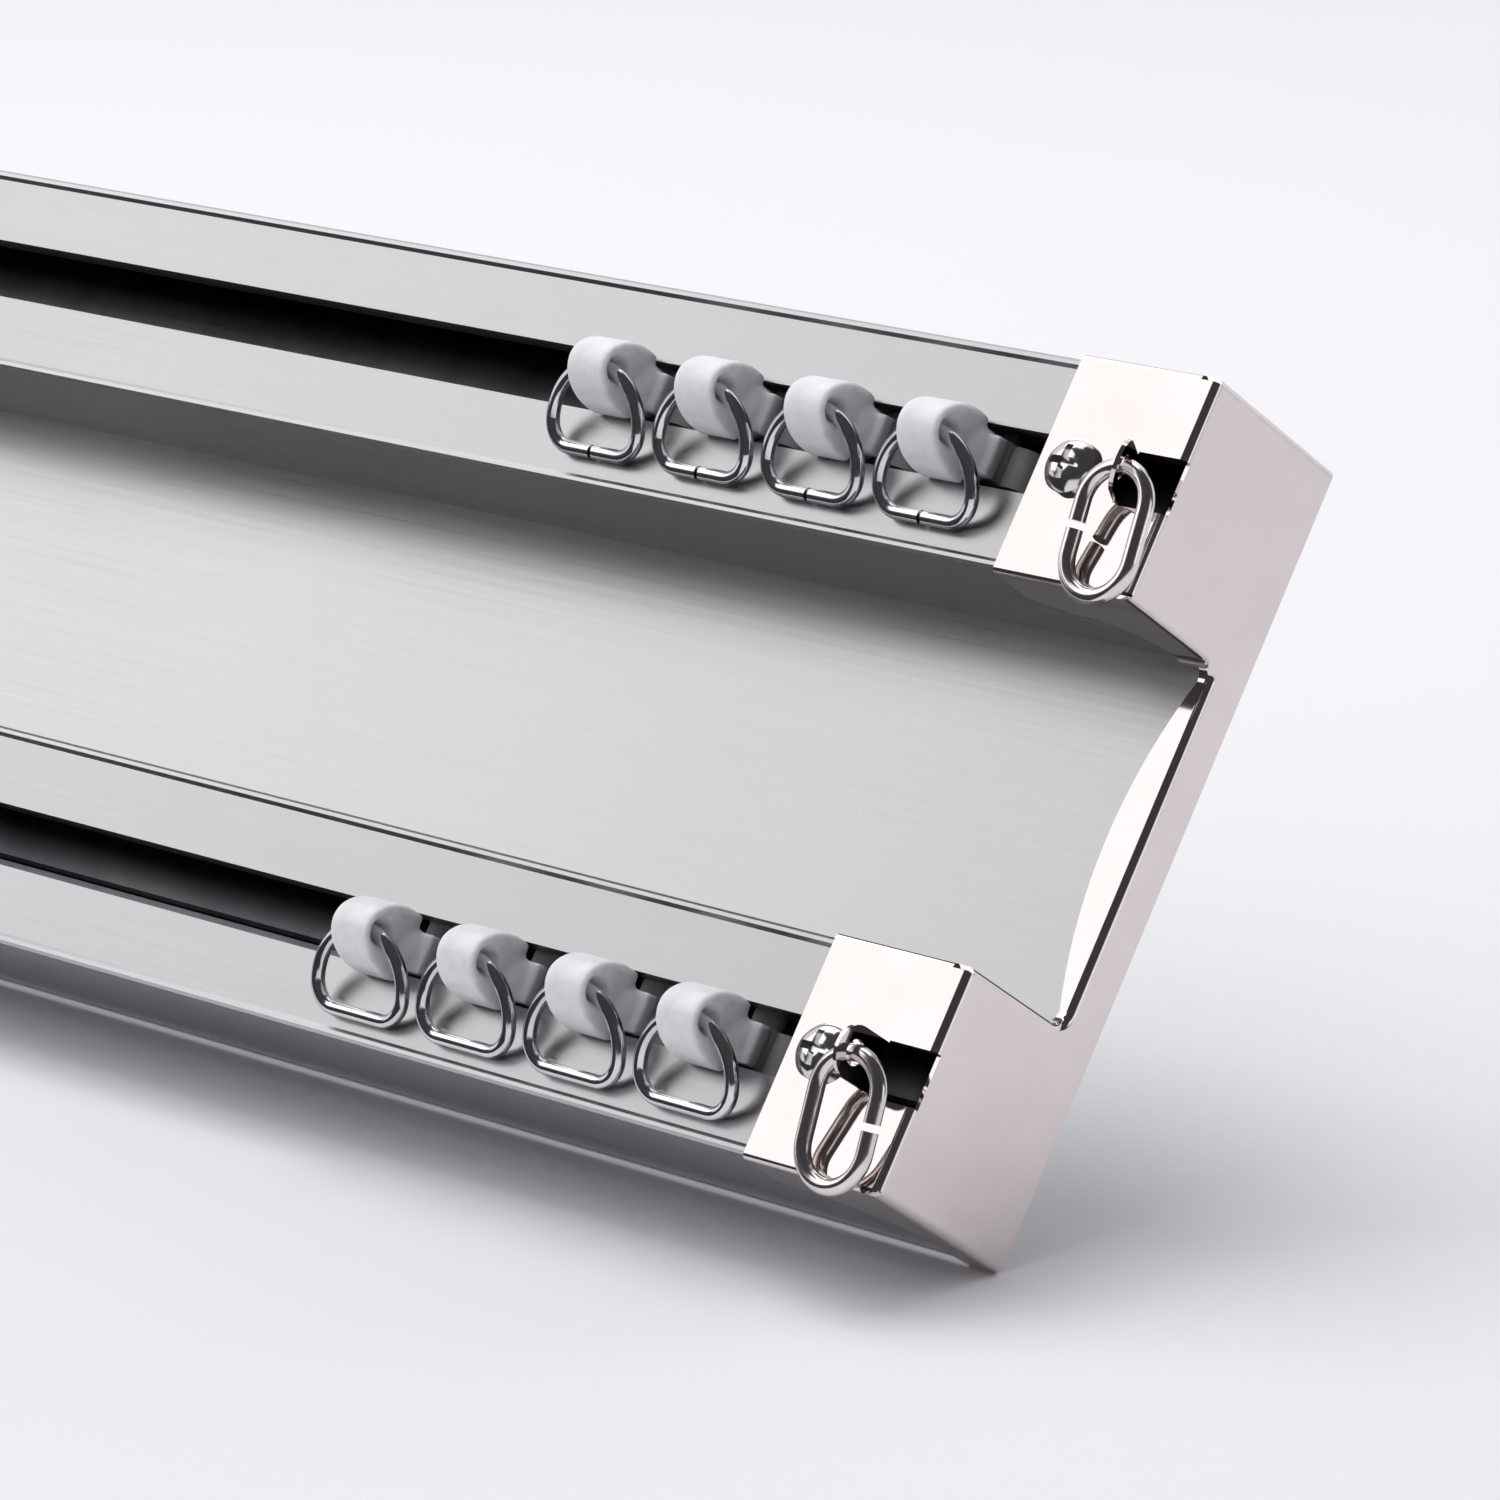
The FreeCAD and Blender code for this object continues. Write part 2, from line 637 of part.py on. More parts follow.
def save_ends():
    """Caps, cap screws, clamp plates and cap rings of both ends."""
    cap = end_cap()
    for side in SIDES:
        save("end_cap_" + side, at_end(cap, side))
        for row, across in ROWS.items():
            y = across * LEG_Y
            tag = side + "_" + row
            save("cap_screw_" + tag, at_end(cap_screw(y), side))
            save("clamp_plate_" + tag, at_end(clamp_plate(y), side))
            gap_side = -1 if row == "a" else 1
            save("cap_ring_" + tag, at_end(cap_ring(gap_side, row), side))


def save_gliders():
    """Both rows of gliders with their rings, axles and wheels."""
    body = glider()
    roller = wheel()
    pin = axle()
    for row, across in ROWS.items():
        for k in range(GLIDERS):
            x = END_X - FIRST_GLIDER[row] - k * PITCH
            place = Vector(x, across * LEG_Y + GLIDER_SHIFT[row], 0)
            tag = row + str(k + 1)
            save("glider_" + tag, body.translated(place))
            save("glider_ring_" + tag, glider_ring(row, x))
            save("axle_" + tag, pin.translated(place))
            save("wheel_front_" + tag, roller.translated(place))
            far = roller.mirror(Vector(0, 0, 0), Vector(0, 1, 0))
            save("wheel_back_" + tag, far.translated(place))


os.makedirs("parts", exist_ok=True)
save("rail", rail())
save_ends()
save_gliders()
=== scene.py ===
import json
import math

import bmesh
import bpy
from mathutils import Matrix, Vector


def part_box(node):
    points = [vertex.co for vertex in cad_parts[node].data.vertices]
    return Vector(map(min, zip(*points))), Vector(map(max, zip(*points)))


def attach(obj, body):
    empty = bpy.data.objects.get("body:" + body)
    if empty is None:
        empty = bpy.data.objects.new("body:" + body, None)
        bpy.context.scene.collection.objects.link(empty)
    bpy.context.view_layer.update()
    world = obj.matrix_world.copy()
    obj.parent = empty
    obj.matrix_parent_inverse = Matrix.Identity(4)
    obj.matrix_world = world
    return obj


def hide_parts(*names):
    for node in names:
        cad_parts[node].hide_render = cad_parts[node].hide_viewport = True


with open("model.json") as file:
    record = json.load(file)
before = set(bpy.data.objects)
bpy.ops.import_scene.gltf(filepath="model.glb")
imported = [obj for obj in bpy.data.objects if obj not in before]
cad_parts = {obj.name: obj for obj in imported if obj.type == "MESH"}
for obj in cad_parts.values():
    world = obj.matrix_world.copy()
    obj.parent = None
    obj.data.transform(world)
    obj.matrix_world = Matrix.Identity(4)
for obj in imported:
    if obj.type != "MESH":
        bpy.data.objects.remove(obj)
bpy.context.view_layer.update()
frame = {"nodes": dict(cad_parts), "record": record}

# Camera: its place, its own directions in the part's frame, and its lens in millimetres
CAMERA_AT = Vector((0.7531, 0.1629, -0.6130))
CAMERA_RIGHT = Vector((0.7250, -0.3883, 0.5689))
CAMERA_DOWN = Vector((0.1689, 0.9009, 0.3998))
CAMERA_AHEAD = Vector((-0.6677, -0.1938, 0.7187))
LENS = 172.3
SENSOR_WIDTH = 36.0
CLIP_NEAR = 0.01
CLIP_FAR = 50.0

# Floor: the track lies on the back edge of its +Y side, leaning back
ALONG = Vector((1.0, 0.0, 0.0))
FLOOR_UP = Vector((0.0, -0.826, -0.5636)).normalized()
FLOOR_AWAY = FLOOR_UP.cross(ALONG).normalized()
FLOOR_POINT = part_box("end_cap_right")[1]
FLOOR_REACH = 6.0

# Studio round the near end: a room open on the far side, and a mat on its floor
NEAR_END = Vector((0.17, 0.0, -0.02))
ROOM_RADIUS = 5.0
ROOM_SEGMENTS = 64
ROOM_RINGS = 32
ROOM_OPENS_AT = 0.10
MAT_REACH = 3.0
MAT_EDGE = -0.05
MAT_LIFT = 0.001

# Darker and lighter tones of the floor, the room and the mat, and how fast they change
FLOOR_TONES = ((0.82, 0.815, 0.85, 1.0), (0.85, 0.845, 0.877, 1.0))
FLOOR_CLOUDS = 2.0
ROOM_TONES = ((0.13, 0.13, 0.135, 1.0), (0.17, 0.17, 0.175, 1.0))
MAT_TONES = ((0.02, 0.021, 0.024, 1.0), (0.05, 0.052, 0.058, 1.0))
CLOTH_FOLDS = 1.5

# Light from all round, and the background that is seen and mirrored
SKY_LIGHT = (0.97, 0.97, 1.0, 1.0)
SKY_LEVEL = 0.6
SKY_SHOWN = (0.86, 0.855, 0.885, 1.0)

# Channels of the rail: how far off the middle they are, as the clamp plates in them show,
# half their inner width and a little more, and the depths that the painted shade lies between
CHANNEL_AT = sum(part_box("clamp_plate_right_b"), Vector()).y / 2
CHANNEL_HALF = 0.0122
CHANNEL_FADE = 0.0006
PAINTED_SHADE_FROM = -0.0242
PAINTED_SHADE_FULL = -0.0222
PAINTED_SHADE_ENDS = -0.0040
PAINTED_SHADE_GONE = -0.0030

# Glider: where its tab is centred, and the arc that the moulding gate leaves on it
TAB_CENTRE_Z = -0.02595
GATE_ARC_R = 0.0037
GATE_ARC_HALF = 0.0003

# Neck of a glider, from the tab up into the slot. Each section has its height, its half
# length along the track, and the share of its row's half width that it fills.
NECK = (
    (-0.0285, 0.0018, 0.55),
    (-0.0272, 0.0028, 0.85),
    (-0.0258, 0.0034, 1.0),
    (-0.0246, 0.0042, 0.98),
    (-0.0242, 0.0045, 0.9),
    (-0.0215, 0.0054, 0.88),
)
NECK_HALF = {"a": 0.0039, "b": 0.0032}
NECK_CORNER = 2.8
NECK_POINTS = 40

# Softening: below SOFT_FROM the glider is smoothed. It is cut at NECK_CUT, where the
# packed carriage takes over with a short overlap.
SOFT_FROM = -0.0232
NECK_CUT = -0.0224
NECK_OVERLAP = 0.0002
VOXEL = 0.0002
SMOOTHING_STEPS = 12
SMOOTHING_SHARE = 0.5
SAME_POINT = 1e-6
ON_THE_CUT = 1e-7

# Sockets of the colour mix node
MIX_FIRST = 6
MIX_SECOND = 7
MIX_RESULT = 2


def add_object(name, data):
    """New object of the scene."""
    thing = bpy.data.objects.new(name, data)
    bpy.context.scene.collection.objects.link(thing)
    return thing


def mesh_of(name, shape):
    """Mesh from a finished edit shape, which is freed."""
    mesh = bpy.data.meshes.new(name)
    shape.to_mesh(mesh)
    shape.free()
    return mesh


# Camera

def seen_from_camera(right, up, ahead):
    """Direction in the part's frame, from its parts along the camera's axes."""
    return (CAMERA_RIGHT * right - CAMERA_DOWN * up + CAMERA_AHEAD * ahead).normalized()


def make_camera():
    """Camera at the photo's angle."""
    data = bpy.data.cameras.new("photo_camera")
    data.lens = LENS
    data.sensor_width = SENSOR_WIDTH
    data.sensor_fit = "HORIZONTAL"
    data.clip_start = CLIP_NEAR
    data.clip_end = CLIP_FAR
    camera = add_object("photo_camera", data)
    axes = Matrix((CAMERA_RIGHT, -CAMERA_DOWN, -CAMERA_AHEAD)).transposed()
    camera.matrix_world = Matrix.Translation(CAMERA_AT) @ axes.to_4x4()
    bpy.context.scene.camera = camera


# Node helpers

class Nodes:
    """Short calls that fill one node tree."""

    def __init__(self, tree):
        self.tree = tree

    def feed(self, socket, value):
        """Link a socket to another one, or set it."""
        if isinstance(value, bpy.types.NodeSocket):
            self.tree.links.new(value, socket)
        else:
            socket.default_value = value

    def add(self, kind, inputs=None, **settings):
        """New node with its settings, and its inputs by name."""
        node = self.tree.nodes.new(kind)
        for name, value in settings.items():
            setattr(node, name, value)
        for name, value in (inputs or {}).items():
            self.feed(node.inputs[name], value)
        return node

    def place(self):
        """Place on the object, in metres."""
        return self.add("ShaderNodeTexCoord").outputs["Object"]

    def noise(self, place, scale, **more):
        """Smooth noise from 0 to 1."""
        inputs = {"Vector": place, "Scale": scale, **more}
        return self.add("ShaderNodeTexNoise", inputs).outputs["Fac"]

    def stretched(self, place, scale, turn=(0.0, 0.0, 0.0)):
        """Place turned and squeezed, which stretches what is drawn from it."""
        inputs = {"Vector": place, "Rotation": turn, "Scale": scale}
        return self.add("ShaderNodeMapping", inputs).outputs["Vector"]

    def math(self, operation, first, second=0.0, clamp=False):
        node = self.add("ShaderNodeMath", operation=operation, use_clamp=clamp)
        self.feed(node.inputs[0], first)
        self.feed(node.inputs[1], second)
        return node.outputs[0]

    def plus(self, first, second, clamp=False):
        return self.math("ADD", first, second, clamp)

    def minus(self, first, second):
        return self.math("SUBTRACT", first, second)

    def times(self, first, second, clamp=False):
        return self.math("MULTIPLY", first, second, clamp)

    def absolute(self, value):
        return self.math("ABSOLUTE", value)

    def span(self, value, low, high, to_low, to_high):
        """Value carried from one range to another, and held at its ends."""
        inputs = {"Value": value, "From Min": low, "From Max": high,
                  "To Min": to_low, "To Max": to_high}
        return self.add("ShaderNodeMapRange", inputs).outputs["Result"]

    def mix(self, share, first, second):
        """Colour between two, by the share of the second."""
        node = self.add("ShaderNodeMix", data_type="RGBA")
        self.feed(node.inputs["Factor"], share)
        self.feed(node.inputs[MIX_FIRST], first)
        self.feed(node.inputs[MIX_SECOND], second)
        return node.outputs[MIX_RESULT]

    def either(self, share, first, second):
        """Shader between two, by the share of the second."""
        node = self.add("ShaderNodeMixShader")
        for socket, value in zip(node.inputs, (share, first.outputs[0], second.outputs[0])):
            self.feed(socket, value)
        return node

    def effect(self, group, values):
        """Outputs of a shared effect, placed with this material's own values."""
        return self.add("ShaderNodeGroup", values, node_tree=group).outputs

    def finish(self, shader, kind="ShaderNodeOutputMaterial"):
        """Send the last shader to the tree's output."""
        self.add(kind, {"Surface": shader.outputs[0]})


def new_material(name):
    """Material with an empty node tree, and the helper that fills it."""
    material = bpy.data.materials.new(name)
    material.use_nodes = True
    material.node_tree.nodes.clear()
    return material, Nodes(material.node_tree)


def new_group(name, inputs, outputs):
    """Shared effect with named sockets. Returns its group, helper, inputs and end."""
    group = bpy.data.node_groups.new(name, "ShaderNodeTree")
    for label, kind, value in inputs:
        socket = group.interface.new_socket(
            label, in_out="INPUT", socket_type="NodeSocket" + kind)
        socket.default_value = value
    for label, kind in outputs:
        group.interface.new_socket(label, in_out="OUTPUT", socket_type="NodeSocket" + kind)
    n = Nodes(group)
    return group, n, n.add("NodeGroupInput").outputs, n.add("NodeGroupOutput").inputs


# Shared effects. A scale is in features to the metre. A range is the stretch of a noise
# over which its mark comes up from nothing to full.

SURFACE_SOCKETS = [("Color", "Color"), ("Roughness", "Float"), ("Height", "Float")]

LINE_SQUEEZE = (0.012, 1.0, 1.0)
LINE_SHARE = 0.7
PATCH_SCALE = 22.0
PATCH_SHARE = 0.3

HAZE_SCALE = 90.0
HAZE_RANGE = (0.42, 0.7)
HAZE_SHARE = 0.7
HAIR_TURN = (0.3, 0.9, 0.5)
HAIR_SQUEEZE = (1.0, 0.04, 0.04)
HAIR_SCALE = 2600.0
HAIR_RANGE = (0.62, 0.75)
HAIR_SHARE = 0.3

ARC_WAVES = 6300.0
ARC_WAVE_SHARE = 0.18
CLOUD_SWIRL = 1.2
CLOUD_RANGE = (0.35, 0.7)
CLOUD_ROUGHNESS = 0.08
SKIN_SCALE = 1400.0
SKIN_SHARE = 0.3

# Uneven strength of the painted shade in the channels
PAINTED_SHADE_PATCH_SCALE = 120.0
PAINTED_SHADE_PATCH_RANGE = (0.3, 0.7)
PAINTED_SHADE_THINNEST = 0.88

NOISE_MIDDLE = 0.5
NOISE_SPREAD = 4.0


def drawn_lines_group():
    """Fine lines left along X by a die or a draw plate, with slow patches of tone."""
    group, n, start, end = new_group("drawn_lines", [
        ("Base", "Color", (0.7, 0.7, 0.7, 1.0)),
        ("Line Pitch", "Float", 1500.0),
        ("Tone Spread", "Float", 0.05),
        ("Roughness", "Float", 0.35),
        ("Roughness Spread", "Float", 0.06),
    ], SURFACE_SOCKETS)
    place = n.place()
    lines = n.noise(n.stretched(place, LINE_SQUEEZE), start["Line Pitch"],
                    Detail=3.0, Roughness=0.6)
    patches = n.noise(place, PATCH_SCALE, Detail=2.0)
    both = n.plus(n.times(lines, LINE_SHARE), n.times(patches, PATCH_SHARE))
    swing = n.times(n.minus(both, NOISE_MIDDLE), NOISE_SPREAD)
    gain = n.plus(n.times(swing, start["Tone Spread"]), 1.0)
    tone = n.add("ShaderNodeVectorMath", {"Vector": start["Base"]}, operation="SCALE")
    n.feed(tone.inputs["Scale"], gain)
    n.feed(end["Color"], tone.outputs["Vector"])
    n.feed(end["Roughness"],
           n.plus(start["Roughness"], n.times(swing, start["Roughness Spread"])))
    n.feed(end["Height"], lines)
    return group


def plating_group():
    """Bright plating: a faint ripple in the sheet, hazy spots and hair scratches."""
    group, n, start, end = new_group("plating", [
        ("Base", "Color", (0.85, 0.83, 0.83, 1.0)),
        ("Haze Color", "Color", (0.75, 0.72, 0.72, 1.0)),
        ("Roughness", "Float", 0.07),
        ("Haze", "Float", 0.08),
        ("Ripple Scale", "Float", 60.0),
    ], SURFACE_SOCKETS)
    place = n.place()
    spots = n.noise(place, HAZE_SCALE, Detail=4.0, Roughness=0.6)
    spots = n.span(spots, *HAZE_RANGE, 0.0, 1.0)
    hairs = n.noise(n.stretched(place, HAIR_SQUEEZE, HAIR_TURN), HAIR_SCALE, Detail=2.0)
    hairs = n.span(hairs, *HAIR_RANGE, 0.0, 1.0)
    worn = n.plus(n.times(spots, HAZE_SHARE), n.times(hairs, HAIR_SHARE), clamp=True)
    n.feed(end["Color"], n.mix(worn, start["Base"], start["Haze Color"]))
    n.feed(end["Roughness"], n.plus(start["Roughness"], n.times(worn, start["Haze"])))
    n.feed(end["Height"], n.noise(place, start["Ripple Scale"], Detail=1.0))
    return group


def moulded_nylon_group():
    """Moulded nylon: clouds under a slightly uneven skin, and arcs round the gate."""
    group, n, start, end = new_group("moulded_nylon", [
        ("Base", "Color", (0.8, 0.8, 0.83, 1.0)),
        ("Cloud Color", "Color", (0.7, 0.71, 0.74, 1.0)),
        ("Roughness", "Float", 0.35),
        ("Cloud Scale", "Float", 250.0),
        ("Gate Marks", "Float", 0.0),
    ], SURFACE_SOCKETS)
    place = n.place()
    axes = n.add("ShaderNodeSeparateXYZ", {"Vector": place}).outputs
    down = n.minus(axes["Z"], TAB_CENTRE_Z)
    squares = n.plus(n.times(axes["Y"], axes["Y"]), n.times(down, down))
    radius = n.math("POWER", squares, 0.5)
    arc = n.span(n.absolute(n.minus(radius, GATE_ARC_R)), 0.0, GATE_ARC_HALF, 1.0, 0.0)
    waves = n.times(n.math("SINE", n.times(radius, ARC_WAVES)), ARC_WAVE_SHARE)
    marks = n.times(n.plus(arc, waves), start["Gate Marks"])
    clouds = n.noise(place, start["Cloud Scale"], Detail=3.0, Distortion=CLOUD_SWIRL)
    skin = n.noise(place, SKIN_SCALE, Detail=2.0)
    share = n.span(clouds, *CLOUD_RANGE, 0.0, 1.0)
    n.feed(end["Color"], n.mix(share, start["Base"], start["Cloud Color"]))
    n.feed(end["Roughness"], n.plus(start["Roughness"], n.times(share, CLOUD_ROUGHNESS)))
    n.feed(end["Height"], n.plus(n.plus(n.times(skin, SKIN_SHARE), clouds), marks))
    return group


def channel_painted_shade_group():
    """Painted shade inside the two channels: the colour is darkened there, thinning out in the
    slots and a little uneven.
    """
    group, n, start, end = new_group("channel_painted_shade", [
        ("Color", "Color", (0.7, 0.7, 0.7, 1.0)),
        ("Painted Shade Color", "Color", (0.1, 0.1, 0.1, 1.0)),
        ("Amount", "Float", 1.0),
        ("Starts At", "Float", PAINTED_SHADE_FROM),
        ("Full At", "Float", PAINTED_SHADE_FULL),
        ("Anywhere Across", "Float", 0.0),
    ], [("Color", "Color")])
    place = n.place()
    axes = n.add("ShaderNodeSeparateXYZ", {"Vector": place}).outputs
    # Painted shade: the mask covers the inside of the channels, where little light reaches.
    off_centre = n.absolute(n.minus(n.absolute(axes["Y"]), CHANNEL_AT))
    inside = n.span(off_centre, CHANNEL_HALF, CHANNEL_HALF + CHANNEL_FADE, 1.0, 0.0)
    inside = n.math("MAXIMUM", inside, start["Anywhere Across"])
    depth = n.span(axes["Z"], start["Starts At"], start["Full At"], 0.0, 1.0)
    depth = n.times(depth, n.span(axes["Z"], PAINTED_SHADE_ENDS, PAINTED_SHADE_GONE, 1.0, 0.0))
    # The painted shade is made a little uneven at random.
    shade_unevenness = n.noise(place, PAINTED_SHADE_PATCH_SCALE, Detail=2.0)
    shade_unevenness = n.span(shade_unevenness, *PAINTED_SHADE_PATCH_RANGE, PAINTED_SHADE_THINNEST, 1.0)
    share = n.times(n.times(inside, depth), start["Amount"])
    share = n.times(share, shade_unevenness, clamp=True)
    n.feed(end["Color"], n.mix(share, start["Color"], start["Painted Shade Color"]))
    return group


# Materials

NYLON_DEPTH = 0.002
NYLON_TINT = (1.0, 1.0, 1.1)


def finish_material(name, effect, values, *, metallic, bump, bump_depth,
                    painted_shade=None, scatter=None):
    """Principled material over one shared effect, with painted shade in the channels where
    some is given.
    """
    material, n = new_material(name)
    skin = n.effect(effect, values)
    colour = skin["Color"]
    if painted_shade:
        group, amounts = painted_shade
        colour = n.effect(group, {"Color": colour, **amounts})["Color"]
    raised = n.add("ShaderNodeBump", {
        "Strength": bump, "Distance": bump_depth, "Height": skin["Height"]})
    n.finish(n.add("ShaderNodeBsdfPrincipled", {
        "Base Color": colour, "Roughness": skin["Roughness"], "Metallic": metallic,
        "Normal": raised.outputs["Normal"], **(scatter or {})}))
    return material


def soft_depth(weight):
    """Share of the light that goes a little way into the nylon and comes out again."""
    return {"Subsurface Weight": weight, "Subsurface Radius": NYLON_TINT,
            "Subsurface Scale": NYLON_DEPTH}


def make_materials():
    """Materials by the record's slots, and the cap rings' own finish."""
    lines = drawn_lines_group()
    plating = plating_group()
    nylon = moulded_nylon_group()
    painted_shade = channel_painted_shade_group()
    made = {}
    made["rail_aluminium"] = finish_material("satin_aluminium", lines, {
        "Base": (0.505, 0.50, 0.507, 1.0), "Line Pitch": 1500.0, "Tone Spread": 0.05,
        "Roughness": 0.30, "Roughness Spread": 0.05,
    }, metallic=1.0, bump=0.25, bump_depth=0.00002,
        # Painted shade: the rail's colour is darkened inside its channels.
        painted_shade=(painted_shade, {"Painted Shade Color": (0.09, 0.092, 0.10, 1.0)}))
    made["cap_plating"] = finish_material("nickel_sheet", plating, {
        "Base": (0.755, 0.692, 0.680, 1.0), "Haze Color": (0.705, 0.642, 0.628, 1.0),
        "Roughness": 0.05, "Haze": 0.06, "Ripple Scale": 60.0,
    }, metallic=1.0, bump=0.08, bump_depth=0.00004)
    made["screw_plating"] = finish_material("nickel_screw", plating, {
        "Base": (0.80, 0.78, 0.78, 1.0), "Haze Color": (0.60, 0.58, 0.58, 1.0),
        "Roughness": 0.10, "Haze": 0.12, "Ripple Scale": 700.0,
    }, metallic=1.0, bump=0.15, bump_depth=0.00003)
    made["wire_plating"] = finish_material("nickel_wire", plating, {
        "Base": (0.76, 0.75, 0.76, 1.0), "Haze Color": (0.58, 0.58, 0.60, 1.0),
        "Roughness": 0.10, "Haze": 0.10, "Ripple Scale": 500.0,
    }, metallic=1.0, bump=0.15, bump_depth=0.00003)
    made["nickel_link"] = finish_material("nickel_link", plating, {
        "Base": (0.80, 0.755, 0.745, 1.0), "Haze Color": (0.62, 0.58, 0.58, 1.0),
        "Roughness": 0.15, "Haze": 0.10, "Ripple Scale": 500.0,
    }, metallic=1.0, bump=0.15, bump_depth=0.00003)
    made["zinc_steel"] = finish_material("zinc_plate", plating, {
        "Base": (0.30, 0.25, 0.25, 1.0), "Haze Color": (0.20, 0.17, 0.17, 1.0),
        "Roughness": 0.28, "Haze": 0.15, "Ripple Scale": 900.0,
    }, metallic=1.0, bump=0.3, bump_depth=0.00003)
    made["axle_steel"] = finish_material("drawn_steel", lines, {
        "Base": (0.58, 0.58, 0.60, 1.0), "Line Pitch": 4000.0, "Tone Spread": 0.08,
        "Roughness": 0.28, "Roughness Spread": 0.08,
    }, metallic=1.0, bump=0.3, bump_depth=0.00001)
    made["nylon"] = finish_material("natural_nylon", nylon, {
        "Base": (0.88, 0.885, 0.905, 1.0), "Cloud Color": (0.78, 0.79, 0.82, 1.0),
        "Roughness": 0.34, "Cloud Scale": 260.0, "Gate Marks": 1.6,
    }, metallic=0.0, bump=0.5, bump_depth=0.00006,
        # Painted shade: the gliders' necks are darkened where they reach into the slots.
        painted_shade=(painted_shade, {"Painted Shade Color": (0.13, 0.138, 0.138, 1.0), "Amount": 0.8,
                         "Starts At": -0.0262, "Full At": -0.0225,
                         "Anywhere Across": 1.0}),
        scatter=soft_depth(0.5))
    made["wheel_nylon"] = finish_material("wheel_nylon", nylon, {
        "Base": (0.74, 0.75, 0.77, 1.0), "Cloud Color": (0.64, 0.65, 0.67, 1.0),
        "Roughness": 0.45, "Cloud Scale": 400.0,
    }, metallic=0.0, bump=0.3, bump_depth=0.00005, scatter=soft_depth(0.3))
    return made


def toned_matt(n, scale, tones):
    """Matt shader with slow clouds between two tones."""
    colour = n.mix(n.noise(n.place(), scale), *tones)
    return n.add("ShaderNodeBsdfDiffuse", {"Color": colour})


def floor_paint():
    """Pale matt floor, clear when seen from below."""
    material, n = new_material("pale_floor")
    below = n.add("ShaderNodeNewGeometry").outputs["Backfacing"]
    clear = n.add("ShaderNodeBsdfTransparent")
    n.finish(n.either(below, toned_matt(n, FLOOR_CLOUDS, FLOOR_TONES), clear))
    return material


def matt_cloth(name, tones):
    """Matt cloth with slow folds."""
    material, n = new_material(name)
    n.finish(toned_matt(n, CLOTH_FOLDS, tones))
    return material


# Stage

def stage_object(name, mesh, material):
    """Object round the part that isn't part of it."""
    mesh.materials.append(material)
    thing = add_object(name, mesh)
    return thing


def floor_sheet(name, low, high, lift):
    """Rectangle on the floor, from low to high along the track and away from the camera."""
    corners = [FLOOR_POINT + FLOOR_UP * lift + ALONG * x + FLOOR_AWAY * y
               for x, y in (low, (high[0], low[1]), high, (low[0], high[1]))]
    mesh = bpy.data.meshes.new(name)
    mesh.from_pydata(corners, [], [(0, 1, 2, 3)])
    mesh.update()
    return mesh


def make_floor():
    """Plain pale floor under the leaning track."""
    sheet = floor_sheet("studio_floor", (-FLOOR_REACH, -FLOOR_REACH),
                        (FLOOR_REACH, FLOOR_REACH), 0.0)
    stage_object("studio_floor", sheet, floor_paint())


def make_room():
    """Grey walls and ceiling on the camera's side, for the metal to mirror."""
    shell = bmesh.new()
    bmesh.ops.create_uvsphere(
        shell, u_segments=ROOM_SEGMENTS, v_segments=ROOM_RINGS, radius=ROOM_RADIUS)
    open_side = [f for f in shell.faces
                 if f.calc_center_median().dot(CAMERA_AHEAD) > ROOM_OPENS_AT * ROOM_RADIUS]
    bmesh.ops.delete(shell, geom=open_side, context="FACES")
    room = stage_object("dark_room", mesh_of("dark_room", shell),
                        matt_cloth("grey_cloth", ROOM_TONES))
    room.location = NEAR_END
    room.visible_camera = False


def make_mat():
    """Black mat on the floor that only the metal sees, left of the camera's view."""
    sheet = floor_sheet("dark_mat", (-MAT_REACH, -MAT_REACH), (MAT_EDGE, MAT_EDGE), MAT_LIFT)
    mat = stage_object("dark_mat", sheet, matt_cloth("black_cloth", MAT_TONES))
    mat.visible_camera = False
    mat.visible_diffuse = False
    mat.visible_shadow = False


# Light

def make_world():
    """Even light from all round, and a pale background to look at and to mirror."""
    world = bpy.data.worlds.new("studio")
    bpy.context.scene.world = world
    world.use_nodes = True
    world.node_tree.nodes.clear()
    n = Nodes(world.node_tree)
    ray = n.add("ShaderNodeLightPath").outputs
    shown = n.plus(ray["Is Camera Ray"], ray["Is Glossy Ray"])
    shown = n.plus(shown, ray["Is Transmission Ray"], clamp=True)
    light = n.add("ShaderNodeBackground", {"Color": SKY_LIGHT, "Strength": SKY_LEVEL})
    pale = n.add("ShaderNodeBackground", {"Color": SKY_SHOWN, "Strength": 1.0})
    n.finish(n.either(shown, light, pale), "ShaderNodeOutputWorld")


def soft_light(name, towards, distance, size, level, mirrored=True, matt=True):
    """Rectangular soft light of an even level, facing the near end."""
    width, height = size
    data = bpy.data.lights.new(name, "AREA")
    data.shape = "RECTANGLE"
    data.size = width
    data.size_y = height
    data.energy = level * math.pi * width * height
    lamp = add_object(name, data)
    direction = seen_from_camera(*towards)
    lamp.rotation_mode = "QUATERNION"
    lamp.location = NEAR_END + direction * distance
    lamp.rotation_quaternion = direction.to_track_quat("Z", "Y")
    lamp.visible_glossy = mirrored
    lamp.visible_diffuse = matt


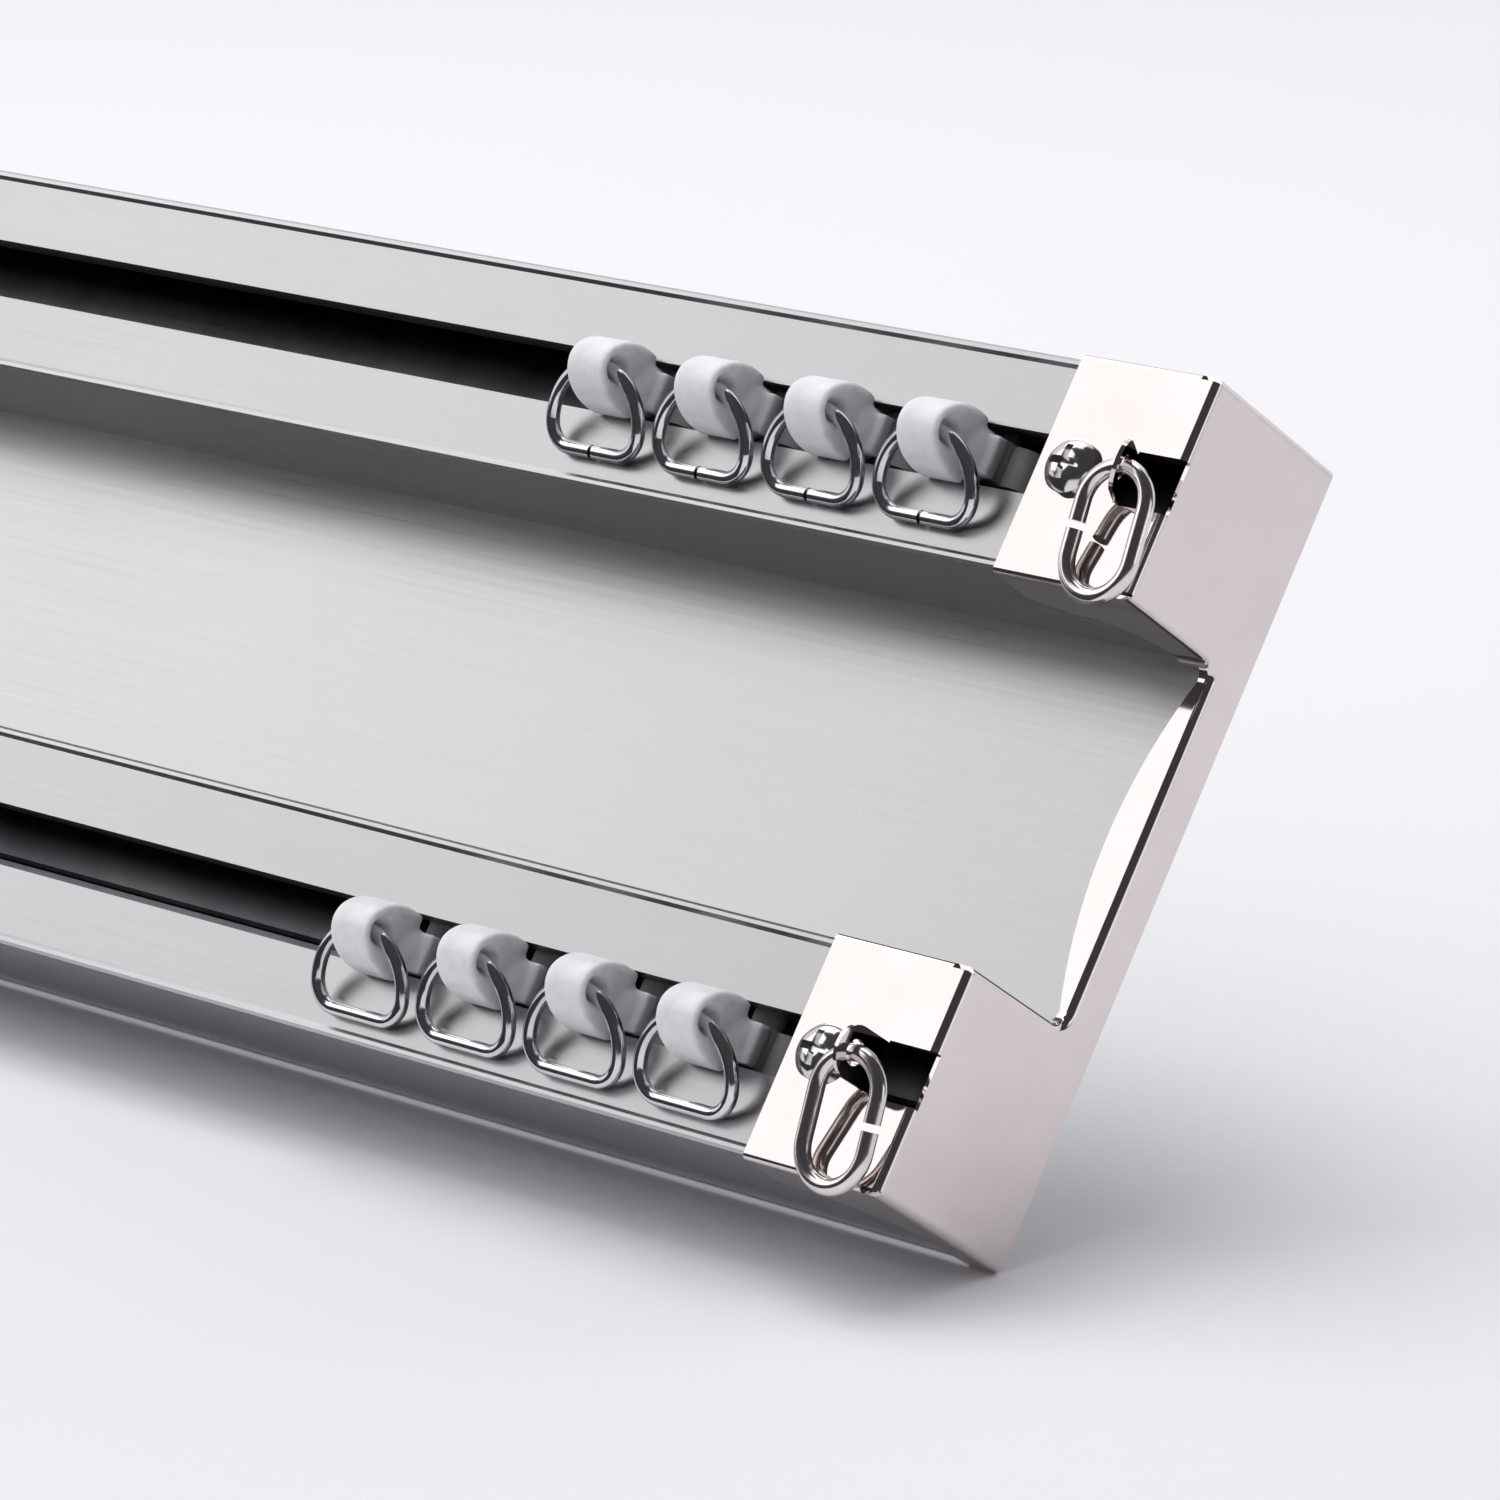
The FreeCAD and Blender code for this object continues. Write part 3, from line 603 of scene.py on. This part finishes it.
def make_lights():
    """Cards and boxes that the metal mirrors, and fills that light the matt surfaces."""
    soft_light("left_card", (-0.766, 0.642, -0.033), distance=1.2, size=(0.9, 0.7), level=1.36)
    soft_light("top_box", (-0.15, 0.9, 0.2), distance=1.3, size=(1.0, 0.7), level=1.3)
    soft_light("ceiling", (-0.15, 0.97, -0.05), distance=2.6, size=(1.8, 1.8), level=2.7,
               mirrored=False)
    soft_light("front_fill", (-0.5, 0.62, -0.6), distance=2.6, size=(3.4, 3.4), level=0.72,
               mirrored=False)
    soft_light("right_fill", (0.75, 0.6, 0.25), distance=2.6, size=(3.4, 3.4), level=0.65,
               mirrored=False)
    soft_light("right_card", (0.87, 0.05, -0.48), distance=1.0, size=(0.45, 0.45), level=1.0,
               matt=False)


# Gliders, softened as the moulded ones are

def rounded_point(turn):
    """Point of a square two units wide with well rounded corners."""
    power = 2.0 / NECK_CORNER
    along, across = math.cos(turn), math.sin(turn)
    return (math.copysign(abs(along) ** power, along),
            math.copysign(abs(across) ** power, across))


def closed_neck(half):
    """Closed neck that spreads from the tab into the slot, lofted through its sections."""
    shape = bmesh.new()
    outline = [rounded_point(2 * math.pi * step / NECK_POINTS) for step in range(NECK_POINTS)]
    rings = [[shape.verts.new((x * reach, y * half * share, height)) for x, y in outline]
             for height, reach, share in NECK]
    for low, high in zip(rings, rings[1:]):
        for i in range(NECK_POINTS):
            j = (i + 1) % NECK_POINTS
            shape.faces.new((low[i], low[j], high[j], high[i]))
    shape.faces.new(list(reversed(rings[0])))
    shape.faces.new(rings[-1])
    return shape


def cut_level(shape, height, keep_below):
    """Cut a shape level at a height, keep one side of it and close the cut."""
    bmesh.ops.bisect_plane(
        shape, geom=shape.verts[:] + shape.edges[:] + shape.faces[:], dist=ON_THE_CUT,
        plane_co=(0, 0, height), plane_no=(0, 0, 1),
        clear_outer=keep_below, clear_inner=not keep_below)
    rim = [e for e in shape.edges if e.is_boundary]
    bmesh.ops.holes_fill(shape, edges=rim, sides=0)


def remeshed(mesh):
    """Copy of a mesh as one skin of small even faces."""
    helper = add_object("remesh_helper", mesh)
    skin = helper.modifiers.new("skin", "REMESH")
    skin.mode = "VOXEL"
    skin.voxel_size = VOXEL
    graph = bpy.context.evaluated_depsgraph_get()
    made = bpy.data.meshes.new_from_object(helper.evaluated_get(graph))
    bpy.data.objects.remove(helper)
    return made


def shade(shape, smooth):
    """Set all the faces of a shape smooth or flat."""
    for face in shape.faces:
        face.smooth = smooth


def soft_glider_mesh(packed_mesh, middle, half):
    """Glider with a softened tab and neck below, and its packed carriage above."""
    carriage = bmesh.new()
    carriage.from_mesh(packed_mesh)
    bmesh.ops.translate(carriage, verts=carriage.verts, vec=-middle)
    bmesh.ops.remove_doubles(carriage, verts=carriage.verts, dist=SAME_POINT)
    whole = bpy.data.meshes.new("packed_glider")
    carriage.to_mesh(whole)

    joined = closed_neck(half)
    joined.from_mesh(whole)
    bmesh.ops.recalc_face_normals(joined, faces=joined.faces)
    soft = bmesh.new()
    soft.from_mesh(remeshed(mesh_of("glider_and_neck", joined)))
    lower = [v for v in soft.verts if v.co.z < SOFT_FROM]
    for _ in range(SMOOTHING_STEPS):
        bmesh.ops.smooth_vert(soft, verts=lower, factor=SMOOTHING_SHARE,
                              use_axis_x=True, use_axis_y=True, use_axis_z=True)
    cut_level(soft, NECK_CUT, keep_below=True)
    shade(soft, True)

    cut_level(carriage, NECK_CUT - NECK_OVERLAP, keep_below=False)
    shade(carriage, False)
    soft.from_mesh(mesh_of("carriage", carriage))
    return mesh_of("soft_glider", soft)


def glider_middle(name):
    """Middle of a glider along and across the track, at the height of the track's back."""
    low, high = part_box(name)
    return Vector(((low.x + high.x) / 2, (low.y + high.y) / 2, 0.0))


def make_gliders(nylon):
    """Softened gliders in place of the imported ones, with one mesh to each row."""
    for row, half in NECK_HALF.items():
        names = sorted(n for n in frame["nodes"] if n.startswith("glider_" + row))
        packed_mesh = frame["nodes"][names[0]].data
        shared = soft_glider_mesh(packed_mesh, glider_middle(names[0]), half)
        shared.materials.clear()
        shared.materials.append(nylon)
        for name in names:
            glider = add_object("soft_" + name, shared)
            glider.location = glider_middle(name)
            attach(glider, name)
            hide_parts(name)


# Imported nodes

def dress_nodes(materials):
    """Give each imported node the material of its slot, and the cap rings their own."""
    slots = {entry["node"]: entry["material_slot"] for entry in frame["record"]["subparts"]}
    for name, node in frame["nodes"].items():
        finish = "nickel_link" if name.startswith("cap_ring") else slots[name]
        node.data.materials.clear()
        node.data.materials.append(materials[finish])


make_camera()
make_world()
make_lights()
make_floor()
make_room()
make_mat()
materials = make_materials()
dress_nodes(materials)
make_gliders(materials["nylon"])

bpy.context.scene.view_settings.view_transform = "Standard"
